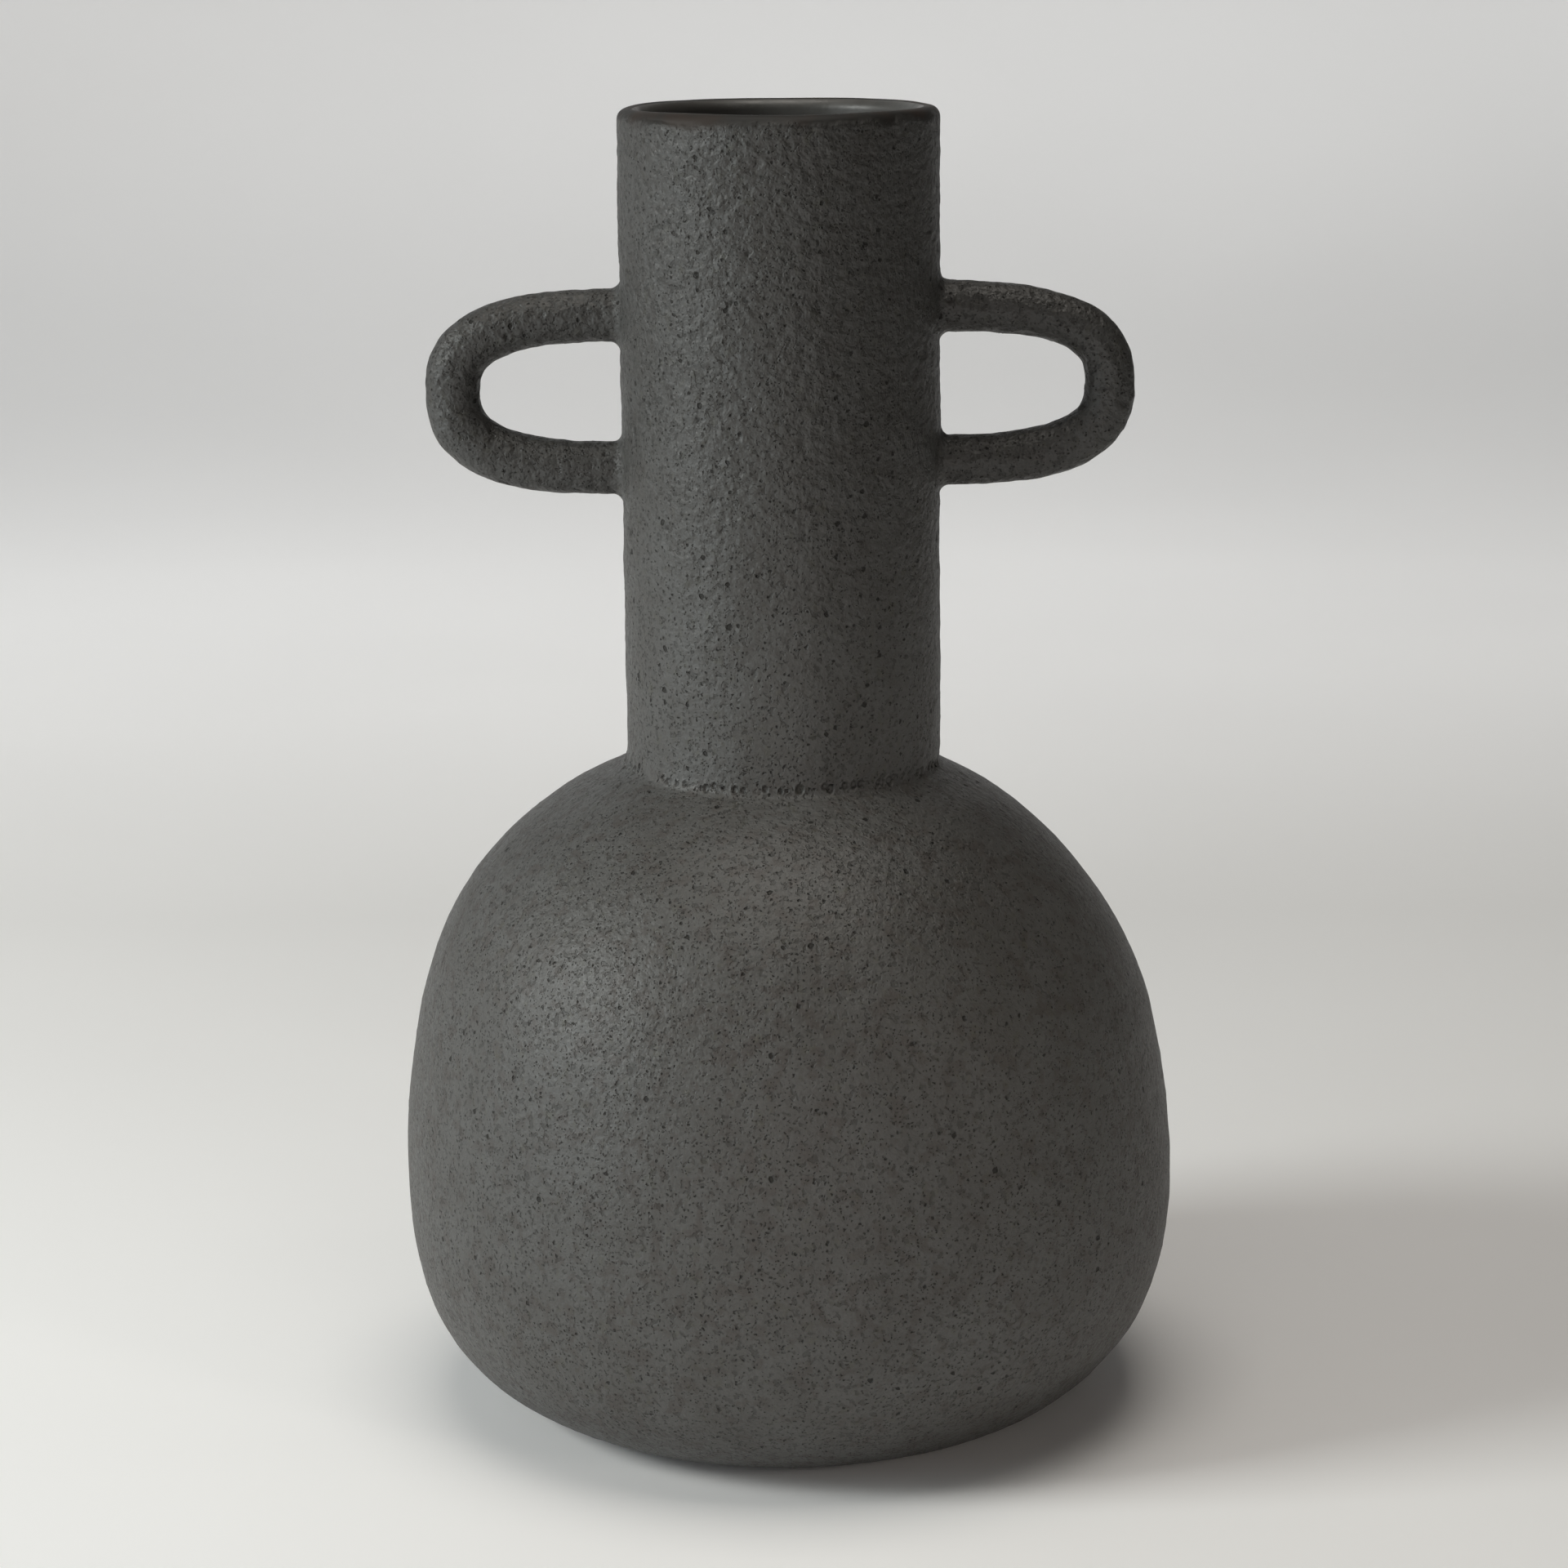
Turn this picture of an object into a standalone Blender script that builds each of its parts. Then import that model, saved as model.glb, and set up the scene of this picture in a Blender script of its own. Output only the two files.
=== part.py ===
"""Stoneware vase: a thrown bulb on a slab floor, a separate cylinder neck luted to its shoulder,
and two rolled-coil loop handles luted to the neck. Metres, +Z up, foot on z = 0, axis on Z."""
import math

import bmesh
import bpy
from mathutils import Matrix, Vector

# Overall sizes
HEIGHT = 0.300
NECK_RADIUS = 0.0360
NECK_WALL = 0.0050
BULB_WALL = 0.0055
FLOOR_THICKNESS = 0.0060
SLIP_GAP = 0.0003

# Outer outline of the bulb, foot to mouth, as (radius, height)
BULB_OUTLINE = (
    (0.0540, 0.0000),
    (0.0662, 0.0042),
    (0.0756, 0.0115),
    (0.0837, 0.0227),
    (0.0885, 0.0393),
    (0.0894, 0.0574),
    (0.0878, 0.0786),
    (0.0824, 0.1028),
    (0.0712, 0.1239),
    (0.0542, 0.1406),
    (0.0310, 0.1534),
)
SPAN_STEPS = 2

# Facets of the neck's lip and seat, and the rolled coil pressed into the seam below the neck
SEAM_COIL_LEG = 0.0022
SEAM_COIL_EDGE = 0.0004
SEAM_COIL_STEPS = 5
LIP_STEPS = 8
SEAT_STEPS = 3

# Handles: centre line is half a superellipse, standing on the neck's wall
HANDLE_REACH = 0.0382
HANDLE_HALF_HEIGHT = 0.0174
HANDLE_POWER = 2.7
HANDLE_POINTS = 23
HANDLE_ROOT = 0.006
HANDLE_BEVEL_RESOLUTION = 5
HANDLE_TURN = math.radians(-2.0)
HANDLES = {
    "left": {"radius": 0.0062, "side": math.pi, "centre": 0.2364},
    "right": {"radius": 0.0058, "side": 0.0, "centre": 0.2380},
}

# Luting collars, the clay smoothed round each end of a handle
COLLAR_LENGTH = 0.0030
COLLAR_FLARE = 0.0022
COLLAR_EDGE = 0.0005
COLLAR_STEPS = 5

# Facets round the turned pieces
TURN_STEPS = 64
COLLAR_TURN_STEPS = 24
MERGE = 0.00001
SMOOTH_ANGLE = math.radians(40.0)

# Looks, as base colour and roughness
VOLCANIC_GLAZE = ((0.060, 0.058, 0.055), 0.62)
THICK_GLAZE = ((0.072, 0.068, 0.062), 0.58)
BARE_CLAY = ((0.105, 0.085, 0.070), 0.85)


def clear_scene():
    for item in list(bpy.data.objects):
        bpy.data.objects.remove(item, do_unlink=True)


def new_collection(name):
    collection = bpy.data.collections.new(name)
    bpy.context.scene.collection.children.link(collection)
    return collection


def fired_clay(name, look):
    color, roughness = look
    material = bpy.data.materials.new(name)
    material.use_nodes = True
    shader = material.node_tree.nodes["Principled BSDF"]
    shader.inputs["Base Color"].default_value = (*color, 1.0)
    shader.inputs["Roughness"].default_value = roughness
    shader.inputs["Metallic"].default_value = 0.0
    return material


def smooth_outline(points, steps):
    """A cubic curve through the points, with tangents spaced by chord length."""
    points = [Vector(point) for point in points]
    knots = [0.0]
    for first, second in zip(points, points[1:]):
        knots.append(knots[-1] + (second - first).length)
    tangents = []
    last = len(points) - 1
    for index in range(len(points)):
        before = max(index - 1, 0)
        after = min(index + 1, last)
        tangents.append((points[after] - points[before]) / (knots[after] - knots[before]))
    curve = []
    for index in range(last):
        span = knots[index + 1] - knots[index]
        for step in range(steps):
            t = step / steps
            curve.append(
                points[index] * (2 * t**3 - 3 * t**2 + 1)
                + tangents[index] * span * (t**3 - 2 * t**2 + t)
                + points[index + 1] * (3 * t**2 - 2 * t**3)
                + tangents[index + 1] * span * (t**3 - t**2)
            )
    curve.append(points[last])
    return curve


def crossing(curve, axis, value):
    """The point where a curve crosses a radius (axis 0) or a height (axis 1), nearest its end."""
    for first, second in reversed(list(zip(curve, curve[1:]))):
        if min(first[axis], second[axis]) <= value <= max(first[axis], second[axis]):
            share = (value - first[axis]) / (second[axis] - first[axis])
            return first.lerp(second, share)
    raise ValueError("the outline never reaches that value")


def inset_outline(curve, distance):
    """The same outline moved towards the axis side by a wall thickness."""
    moved = []
    for index, point in enumerate(curve):
        before = curve[max(index - 1, 0)]
        after = curve[min(index + 1, len(curve) - 1)]
        along = (after - before).normalized()
        moved.append(point + Vector((-along.y, along.x)) * distance)
    return moved


def turned(name, profile, steps, closed):
    """Turns (radius, height) points round Z; the profile runs down its outer side first."""
    mesh = bpy.data.meshes.new(name)
    edges = [(index, index + 1) for index in range(len(profile) - 1)]
    if closed:
        edges.append((len(profile) - 1, 0))
    mesh.from_pydata([(point[0], 0.0, point[1]) for point in profile], edges, [])
    item = bpy.data.objects.new(name, mesh)
    screw = item.modifiers.new("turn", "SCREW")
    screw.axis = "Z"
    screw.steps = steps
    screw.render_steps = steps
    screw.use_merge_vertices = True
    screw.merge_threshold = MERGE
    return item


def freeze(item, collection, name):
    """Replaces an object by its evaluated mesh, with welded caps, in the given collection."""
    staging = bpy.context.scene.collection
    staging.objects.link(item)
    evaluated = item.evaluated_get(bpy.context.evaluated_depsgraph_get())
    mesh = bpy.data.meshes.new_from_object(evaluated)
    place = item.matrix_world.copy()
    bpy.data.objects.remove(item, do_unlink=True)
    shape = bmesh.new()
    shape.from_mesh(mesh)
    bmesh.ops.remove_doubles(shape, verts=shape.verts, dist=MERGE)
    shape.to_mesh(mesh)
    shape.free()
    mesh.name = name
    result = bpy.data.objects.new(name, mesh)
    result.matrix_world = place
    collection.objects.link(result)
    return result


def finish(item, look):
    item.data.materials.clear()
    item.data.materials.append(fired_clay(f"{item.name}_surface", look))
    item.data.shade_smooth()
    item.data.set_sharp_from_angle(angle=SMOOTH_ANGLE)


def cut_with(item, cutter):
    cut = item.modifiers.new("cope", "BOOLEAN")
    cut.operation = "DIFFERENCE"
    cut.solver = "EXACT"
    cut.object = cutter


def floor_slab(parts):
    top = crossing(OUTER, 1, FLOOR_THICKNESS)
    edge = [point for point in OUTER if point.y < top.y]
    profile = [Vector((0.0, FLOOR_THICKNESS)), top, *reversed(edge), Vector((0.0, 0.0))]
    item = turned("floor_slab", profile, TURN_STEPS, closed=False)
    finish(freeze(item, parts, "floor_slab"), BARE_CLAY)


def bulb_wall(parts):
    base = FLOOR_THICKNESS + SLIP_GAP
    mouth = NECK_RADIUS - NECK_WALL
    outer_foot = crossing(OUTER, 1, base)
    outer = [outer_foot] + [point for point in OUTER if point.y > base]
    inside = inset_outline(OUTER, BULB_WALL)
    inner_foot = crossing(inside, 1, base)
    inner_mouth = crossing(inside, 0, mouth)
    inner = [point for point in inside if point.y > base and point.y < inner_mouth.y]
    profile = [*reversed(outer), inner_foot, *inner, inner_mouth]
    item = turned("bulb_wall", profile, TURN_STEPS, closed=True)
    finish(freeze(item, parts, "bulb_wall"), VOLCANIC_GLAZE)


def neck_cylinder(parts):
    """A straight tube with a half-round lip, its foot cut to the slope of the shoulder."""
    bore = NECK_RADIUS - NECK_WALL
    lip = NECK_WALL / 2
    profile = []
    for step in range(LIP_STEPS + 1):
        angle = math.pi * (1 - step / LIP_STEPS)
        profile.append(Vector((bore + lip + lip * math.cos(angle), HEIGHT - lip + lip * math.sin(angle))))
    for step in range(SEAT_STEPS + 1):
        radius = NECK_RADIUS - NECK_WALL * step / SEAT_STEPS
        profile.append(Vector((radius, seat_height(radius))))
    item = turned("neck_cylinder", profile, TURN_STEPS, closed=True)
    finish(freeze(item, parts, "neck_cylinder"), VOLCANIC_GLAZE)


def seat_height(radius):
    """Height of a surface that rests on the bulb's shoulder with the slip gap between them."""
    return crossing(OUTER, 0, radius).y + SEAT_RISE


def neck_seam_coil(parts):
    """A ring of clay with a hollow face, filling the corner between the neck and the shoulder."""
    inner = NECK_RADIUS + SLIP_GAP
    foot_radius = inner + SEAM_COIL_LEG
    low = Vector((foot_radius, seat_height(foot_radius)))
    corner = Vector((inner, seat_height(inner)))
    high = corner + Vector((0.0, SEAM_COIL_LEG))
    shoulder = Vector((foot_radius, low.y + SEAM_COIL_EDGE))
    shelf = high + Vector((SEAM_COIL_EDGE, 0.0))
    bend = corner + Vector((SEAM_COIL_EDGE, SEAM_COIL_EDGE))
    profile = [high]
    for step in range(SEAM_COIL_STEPS + 1):
        t = step / SEAM_COIL_STEPS
        profile.append(shelf * (1 - t) ** 2 + bend * 2 * t * (1 - t) + shoulder * t**2)
    profile += [low, corner]
    item = turned("neck_seam_coil", profile, TURN_STEPS, closed=True)
    finish(freeze(item, parts, "neck_seam_coil"), THICK_GLAZE)


def neck_cutter(cutters):
    """The neck's outside, grown by the slip gap, which copes everything that is luted to it."""
    radius = NECK_RADIUS + SLIP_GAP
    top = HEIGHT
    bottom = HEIGHT / 2
    profile = [Vector((0.0, top)), Vector((radius, top)), Vector((radius, bottom)), Vector((0.0, bottom))]
    cutter = freeze(turned("neck_cutter", profile, TURN_STEPS, closed=False), cutters, "neck_cutter")
    cutter.hide_render = True
    cutter.display_type = "WIRE"
    return cutter


def handle_line(centre):
    """Centre line of a handle in its own plane, from the upper root round to the lower root."""
    root = NECK_RADIUS - HANDLE_ROOT
    points = [Vector((root, 0.0, centre + HANDLE_HALF_HEIGHT))]
    for step in range(HANDLE_POINTS):
        angle = math.pi / 2 - math.pi * step / (HANDLE_POINTS - 1)
        across = max(math.cos(angle), 0.0) ** (2 / HANDLE_POWER)
        upward = math.copysign(abs(math.sin(angle)) ** (2 / HANDLE_POWER), math.sin(angle))
        x = NECK_RADIUS + HANDLE_REACH * across
        points.append(Vector((x, 0.0, centre + HANDLE_HALF_HEIGHT * upward)))
    points.append(Vector((root, 0.0, centre - HANDLE_HALF_HEIGHT)))
    return points


def handle(parts, side, size, cutter):
    name = f"handle_{side}"
    curve = bpy.data.curves.new(name, "CURVE")
    curve.dimensions = "3D"
    curve.bevel_depth = size["radius"]
    curve.bevel_resolution = HANDLE_BEVEL_RESOLUTION
    curve.use_fill_caps = True
    points = handle_line(size["centre"])
    spline = curve.splines.new("POLY")
    spline.points.add(len(points) - 1)
    for target, point in zip(spline.points, points):
        target.co = (*point, 1.0)
    tube = bpy.data.objects.new(name, curve)
    tube.matrix_world = Matrix.Rotation(size["side"] + HANDLE_TURN, 4, "Z")
    coil = freeze(tube, parts, name)
    cut_with(coil, cutter)
    finish(coil, VOLCANIC_GLAZE)


def luting_collar(parts, side, level, height, size, cutter):
    """A flared ring of clay round one root of a handle, coped to the neck."""
    name = f"handle_{side}_{level}_luting"
    inner = size["radius"] + SLIP_GAP
    outer_end = NECK_RADIUS + SLIP_GAP + COLLAR_LENGTH
    root = NECK_RADIUS - HANDLE_ROOT
    wall_face = NECK_RADIUS + SLIP_GAP
    tip = Vector((inner + COLLAR_EDGE, outer_end))
    flare = Vector((inner + COLLAR_FLARE, wall_face - COLLAR_EDGE))
    bend = Vector((inner + COLLAR_EDGE, wall_face + COLLAR_EDGE))
    profile = [Vector((inner, outer_end))]
    for step in range(COLLAR_STEPS + 1):
        t = step / COLLAR_STEPS
        profile.append(tip * (1 - t) ** 2 + bend * 2 * t * (1 - t) + flare * t**2)
    profile += [Vector((flare.x, root)), Vector((inner, root))]
    ring = turned(name, profile, COLLAR_TURN_STEPS, closed=True)
    lay_down = Matrix.Rotation(math.pi / 2, 4, "Y")
    lift = Matrix.Translation((0.0, 0.0, height))
    ring.matrix_world = Matrix.Rotation(size["side"] + HANDLE_TURN, 4, "Z") @ lift @ lay_down
    collar = freeze(ring, parts, name)
    cut_with(collar, cutter)
    finish(collar, THICK_GLAZE)


OUTER = smooth_outline(BULB_OUTLINE, SPAN_STEPS)
SHOULDER_TOP = OUTER[-1] - OUTER[-2]
SEAT_RISE = SLIP_GAP * SHOULDER_TOP.length / abs(SHOULDER_TOP.x)


def build():
    clear_scene()
    parts = new_collection("stoneware_vase")
    cutters = new_collection("cutters")
    cutters.hide_render = True
    floor_slab(parts)
    bulb_wall(parts)
    neck_cylinder(parts)
    neck_seam_coil(parts)
    cutter = neck_cutter(cutters)
    for side, size in HANDLES.items():
        handle(parts, side, size, cutter)
        for level, sign in (("upper", 1), ("lower", -1)):
            height = size["centre"] + sign * HANDLE_HALF_HEIGHT
            luting_collar(parts, side, level, height, size, cutter)


build()
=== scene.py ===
"""Looks of a stoneware vase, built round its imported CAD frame. Metres, +Z up, front towards -Y.

Every clay piece is a dense closed mesh whose skin carries the hand-made waviness, the throwing lines
and the larger pits. The glaze materials add the pinholes, grain and mottling that are finer than that.
"""
import math

import bmesh
import bpy
import numpy as np
from mathutils import Matrix, Vector


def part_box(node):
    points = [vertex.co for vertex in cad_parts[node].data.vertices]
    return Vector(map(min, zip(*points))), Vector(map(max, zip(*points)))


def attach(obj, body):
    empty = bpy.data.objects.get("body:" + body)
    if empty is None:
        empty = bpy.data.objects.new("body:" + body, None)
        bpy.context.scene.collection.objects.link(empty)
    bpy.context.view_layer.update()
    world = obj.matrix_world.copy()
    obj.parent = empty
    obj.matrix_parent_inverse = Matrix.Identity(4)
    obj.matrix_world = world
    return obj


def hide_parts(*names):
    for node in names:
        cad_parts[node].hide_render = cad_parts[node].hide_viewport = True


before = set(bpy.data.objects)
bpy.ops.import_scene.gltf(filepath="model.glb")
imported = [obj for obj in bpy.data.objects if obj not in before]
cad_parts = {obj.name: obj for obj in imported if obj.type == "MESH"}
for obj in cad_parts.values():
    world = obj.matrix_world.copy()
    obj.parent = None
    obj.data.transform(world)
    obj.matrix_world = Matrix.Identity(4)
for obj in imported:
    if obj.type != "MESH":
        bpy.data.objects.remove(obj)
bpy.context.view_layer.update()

MM = 0.001

# Sizes read from the frame
NECK_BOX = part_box("neck_cylinder")
BULB_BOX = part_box("bulb_wall")
SLAB_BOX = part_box("floor_slab")
HEIGHT = NECK_BOX[1].z
NECK_RADIUS = NECK_BOX[1].x
SEAM_HEIGHT = (SLAB_BOX[1].z + BULB_BOX[0].z) / 2

# Walls, the lip that is rounded over the neck's wall, and the heights the upper neck's skin grows over
NECK_WALL = 5.0 * MM
BULB_WALL = 5.5 * MM
LIP_RADIUS = NECK_WALL / 2
LIP_GLAZE_END = math.radians(105)
UPPER_NECK = (0.50 * HEIGHT, 0.80 * HEIGHT)

# Outer outline of the bulb, foot to mouth, as shares of its largest radius and of its mouth's height
BULB_OUTLINE = (
    (0.6040, 0.0000),
    (0.7405, 0.0274),
    (0.8456, 0.0750),
    (0.9362, 0.1480),
    (0.9899, 0.2562),
    (1.0000, 0.3742),
    (0.9821, 0.5124),
    (0.9217, 0.6701),
    (0.7964, 0.8077),
    (0.6063, 0.9166),
    (0.3468, 1.0000),
)

# The seam below the neck: its hollow corner, the width it is smoothed over, and its burst bubbles
SEAM_FILLET = 2.4 * MM
SEAM_SPREAD = 3.0 * MM
SEAM_BUBBLES = 92

# Handles: centre line is half a superellipse standing on the neck's wall
HANDLE_POWER = 2.7
HANDLE_TURN = math.radians(-2.0)
ROOT_FILLET = 2.2 * MM

# Material slots of every piece, and how many columns of faces go round each kind of piece
GLAZED, LINED, BARE = 0, 1, 2
BULB_COLUMNS = 520
NECK_COLUMNS = 360
SEAM_COLUMNS = 880
HANDLE_COLUMNS = 96


# ---------------------------------------------------------------- noise


def lattice_hash(cells, seed):
    """Repeatable 32-bit numbers for whole-number cells."""
    mixed = (
        cells[..., 0].astype(np.uint32) * np.uint32(73856093)
        ^ cells[..., 1].astype(np.uint32) * np.uint32(19349663)
        ^ cells[..., 2].astype(np.uint32) * np.uint32(83492791)
        ^ np.uint32(seed * 2654435761 % 2**32)
    )
    for shift, factor in ((16, 0x7FEB352D), (15, 0x846CA68B)):
        mixed ^= mixed >> np.uint32(shift)
        mixed = mixed * np.uint32(factor)
    return mixed ^ (mixed >> np.uint32(16))


def unit_values(hashes, lane):
    """A number from 0 to 1 out of each hash; each lane gives another number."""
    spread = (hashes + np.uint32(lane * 0x9E3779B9 % 2**32)) * np.uint32(0x85EBCA6B)
    spread ^= spread >> np.uint32(13)
    return (spread * np.uint32(0xC2B2AE35) >> np.uint32(8)).astype(float) / 2**24


def smooth_noise(points, size, seed):
    """Gradient noise of about -1 to 1 whose features are about size across."""
    place = points / size + seed * 17.13
    cell = np.floor(place).astype(np.int64)
    inside = place - cell
    fade = inside**3 * (inside * (inside * 6 - 15) + 10)
    total = np.zeros(len(points))
    for corner in np.ndindex(2, 2, 2):
        hashes = lattice_hash(cell + corner, seed)
        slope = np.stack([unit_values(hashes, lane) * 2 - 1 for lane in range(3)], axis=-1)
        dot = ((inside - corner) * slope).sum(axis=1)
        share = np.where(corner, fade, 1 - fade).prod(axis=1)
        total += dot * share
    return total * 1.6


def pit_field(points, spacing, radii, chance, seed):
    """Depth share, 0 to 1, of round pits scattered one to a cell, and the raised lip round each."""
    place = points / spacing + seed * 11.7
    cell = np.floor(place).astype(np.int64)
    depth = np.zeros(len(points))
    rim = np.zeros(len(points))
    for step in np.ndindex(3, 3, 3):
        neighbour = cell + np.array(step) - 1
        hashes = lattice_hash(neighbour, seed)
        centre = neighbour + np.stack([unit_values(hashes, lane) for lane in range(3)], axis=-1)
        radius = (radii[0] + (radii[1] - radii[0]) * unit_values(hashes, 4) ** 2) / spacing
        there = unit_values(hashes, 5) < chance
        reach = np.linalg.norm(place - centre, axis=1) / radius
        depth = np.maximum(depth, np.where(there, np.clip(1 - reach**2, 0, 1), 0))
        rim = np.maximum(rim, np.where(there, np.exp(-((reach - 1.15) / 0.25) ** 2), 0))
    return depth, rim * (1 - np.minimum(depth * 3, 1))


# ---------------------------------------------------------------- surface relief


def rise(values, low, high):
    """0 below low, 1 above high, and smooth between."""
    t = np.clip((values - low) / (high - low), 0, 1)
    return t * t * (3 - 2 * t)


def clay_relief(points):
    """How far the fired skin stands out at each point, and how deep in a pit it is.

    Waves of the hand and rings of the wheel come first, then the orange peel and the burst pits,
    which are coarser on the upper neck and fade out over the lip and into the bore.
    """
    height = points[:, 2]
    upper_neck = rise(height, *UPPER_NECK)
    outside = rise(np.hypot(points[:, 0], points[:, 1]), BORE + 0.5 * MM, NECK_RADIUS - 0.8 * MM)
    rough = outside * (1 - rise(height, HEIGHT - 5.5 * MM, HEIGHT - 0.6 * MM))
    stretched = points * np.array([0.08, 0.08, 1.0])
    relief = 0.24 * MM * smooth_noise(points, 30 * MM, 1)
    relief += 0.08 * MM * smooth_noise(points, 11 * MM, 2)
    relief += 0.045 * MM * smooth_noise(stretched, 3.4 * MM, 3) * rough
    relief += 0.16 * MM * smooth_noise(stretched, 9 * MM, 10) * rough
    peel = smooth_noise(points, 2.5 * MM, 4) + 0.7 * smooth_noise(points, 4.8 * MM, 5)
    relief += 0.13 * MM * peel * (0.38 + 0.80 * upper_neck) * rough
    push = np.stack([smooth_noise(points, 1.6 * MM, seed) for seed in (7, 8, 9)], axis=1)
    pits, rims = pit_field(points + 0.5 * MM * push, 3.6 * MM, (0.45 * MM, 1.05 * MM), 0.5, 6)
    pits *= rough * (0.60 + 0.30 * upper_neck)
    relief += (0.08 * rims * rough - 0.46 * pits) * MM
    return relief, pits


def foot_relief(points):
    """The clay's relief, fading to nothing where the vase stands."""
    fade = rise(points[:, 2], 0.0, 2.0 * MM)
    relief, pits = clay_relief(points)
    return relief * fade, pits * fade


def seam_relief(points):
    """The clay's relief, with bubbles burst open in a row along the seam below the neck; the glaze
    paints the bubbles' walls dark as painted shade.
    """
    relief, pits = clay_relief(points)
    place = np.arctan2(points[:, 0], -points[:, 1]) / (2 * math.pi) * SEAM_BUBBLES
    hollow = np.zeros(len(points))
    rim = np.zeros(len(points))
    for step in (-1, 0, 1):
        bubble = np.floor(place).astype(np.int64) + step
        hashes = lattice_hash(np.stack([bubble % SEAM_BUBBLES, 0 * bubble, 0 * bubble], axis=-1), 21)
        middle = bubble + 0.25 + 0.5 * unit_values(hashes, 1)
        level = FILLET[21, 1] + (unit_values(hashes, 2) - 0.5) * 0.9 * MM
        radius = (0.45 + 0.65 * unit_values(hashes, 3)) * MM
        sideways = (place - middle) * 2 * math.pi * NECK_RADIUS / SEAM_BUBBLES
        reach = np.hypot(sideways, (points[:, 2] - level) * 0.85) / radius
        there = unit_values(hashes, 5) < 0.8
        hollow = np.maximum(hollow, np.where(there, np.clip(1 - reach**2, 0, 1), 0))
        rim = np.maximum(rim, np.where(there, np.exp(-(((reach - 1.15) / 0.3) ** 2)), 0))
    rim *= 1 - np.minimum(hollow * 3, 1)
    # The bubbles' walls, not their middles, go into the pit share that the glaze darkens: painted shade
    # on the walls of each bubble
    edge = 2.2 * hollow * (1 - hollow)
    return relief + (0.14 * rim - 0.40 * np.sqrt(hollow)) * MM, np.maximum(pits, edge)


# ---------------------------------------------------------------- outlines and meshes


def smooth_outline(points, steps):
    """A cubic curve through (radius, height) points, with tangents spaced by chord length."""
    points = np.array(points)
    knots = np.concatenate([[0], np.cumsum(np.linalg.norm(np.diff(points, axis=0), axis=1))])
    before = np.maximum(np.arange(len(points)) - 1, 0)
    after = np.minimum(np.arange(len(points)) + 1, len(points) - 1)
    tangents = (points[after] - points[before]) / (knots[after] - knots[before])[:, None]
    curve = []
    for index in range(len(points) - 1):
        span = knots[index + 1] - knots[index]
        t = np.linspace(0, 1, steps, endpoint=False)[:, None]
        curve.append(
            points[index] * (2 * t**3 - 3 * t**2 + 1)
            + tangents[index] * span * (t**3 - 2 * t**2 + t)
            + points[index + 1] * (3 * t**2 - 2 * t**3)
            + tangents[index + 1] * span * (t**3 - t**2)
        )
    return np.concatenate([*curve, points[-1:]])


def outline_normals(curve):
    """Unit normals on the outer side of a curve that runs up the outside."""
    along = np.gradient(curve, axis=0)
    along /= np.linalg.norm(along, axis=1)[:, None]
    return np.stack([along[:, 1], -along[:, 0]], axis=1)


def arc(centre, radius, start, end, count):
    """Points along an arc between two angles."""
    angles = np.linspace(start, end, count)
    return np.stack([centre[0] + radius * np.cos(angles), centre[1] + radius * np.sin(angles)], axis=1)


def respaced(curve, step):
    """The curve with its points a step apart."""
    lengths = np.concatenate([[0], np.cumsum(np.linalg.norm(np.diff(curve, axis=0), axis=1))])
    count = max(int(round(lengths[-1] / step)), 2) + 1
    wanted = np.linspace(0, lengths[-1], count)
    return np.stack([np.interp(wanted, lengths, values) for values in curve.T], axis=1)


def between_heights(curve, low, high):
    """The stretch of a rising curve between two heights, with exact ends."""
    inner = curve[(curve[:, 1] > low) & (curve[:, 1] < high)]
    ends = [[np.interp(value, curve[:, 1], curve[:, 0]), value] for value in (low, high)]
    return np.concatenate([ends[:1], inner, ends[1:]])


def new_piece(name, vertices, faces, materials, face_slots, pits):
    """A closed smooth mesh, with how deep each vertex lies in a pit kept for the glaze, which paints
    the pits dark as painted shade.
    """
    mesh = bpy.data.meshes.new(name)
    mesh.from_pydata(vertices.tolist(), [], faces.tolist())
    attribute = mesh.attributes.new("pit", "FLOAT", "POINT")
    attribute.data.foreach_set("value", np.asarray(pits, dtype=np.float32))
    for material in materials:
        mesh.materials.append(material)
    mesh.polygons.foreach_set("material_index", np.asarray(face_slots, dtype=np.int32))
    shape = bmesh.new()
    shape.from_mesh(mesh)
    bmesh.ops.remove_doubles(shape, verts=shape.verts, dist=0.00001 * MM)
    bmesh.ops.dissolve_degenerate(shape, edges=shape.edges, dist=0.00001 * MM)
    shape.to_mesh(mesh)
    shape.free()
    mesh.shade_smooth()
    mesh.set_sharp_from_angle(angle=math.radians(50))
    piece = bpy.data.objects.new(name, mesh)
    bpy.context.scene.collection.objects.link(piece)
    return piece


def grid_normals(grid):
    """Outward unit normals of a grid whose rows run up the outside and whose columns wrap round."""
    upward = np.gradient(grid, axis=0)
    around = np.roll(grid, -1, axis=1) - np.roll(grid, 1, axis=1)
    normals = np.cross(around, upward)
    return normals / np.maximum(np.linalg.norm(normals, axis=2), 1e-12)[..., None]


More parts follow.
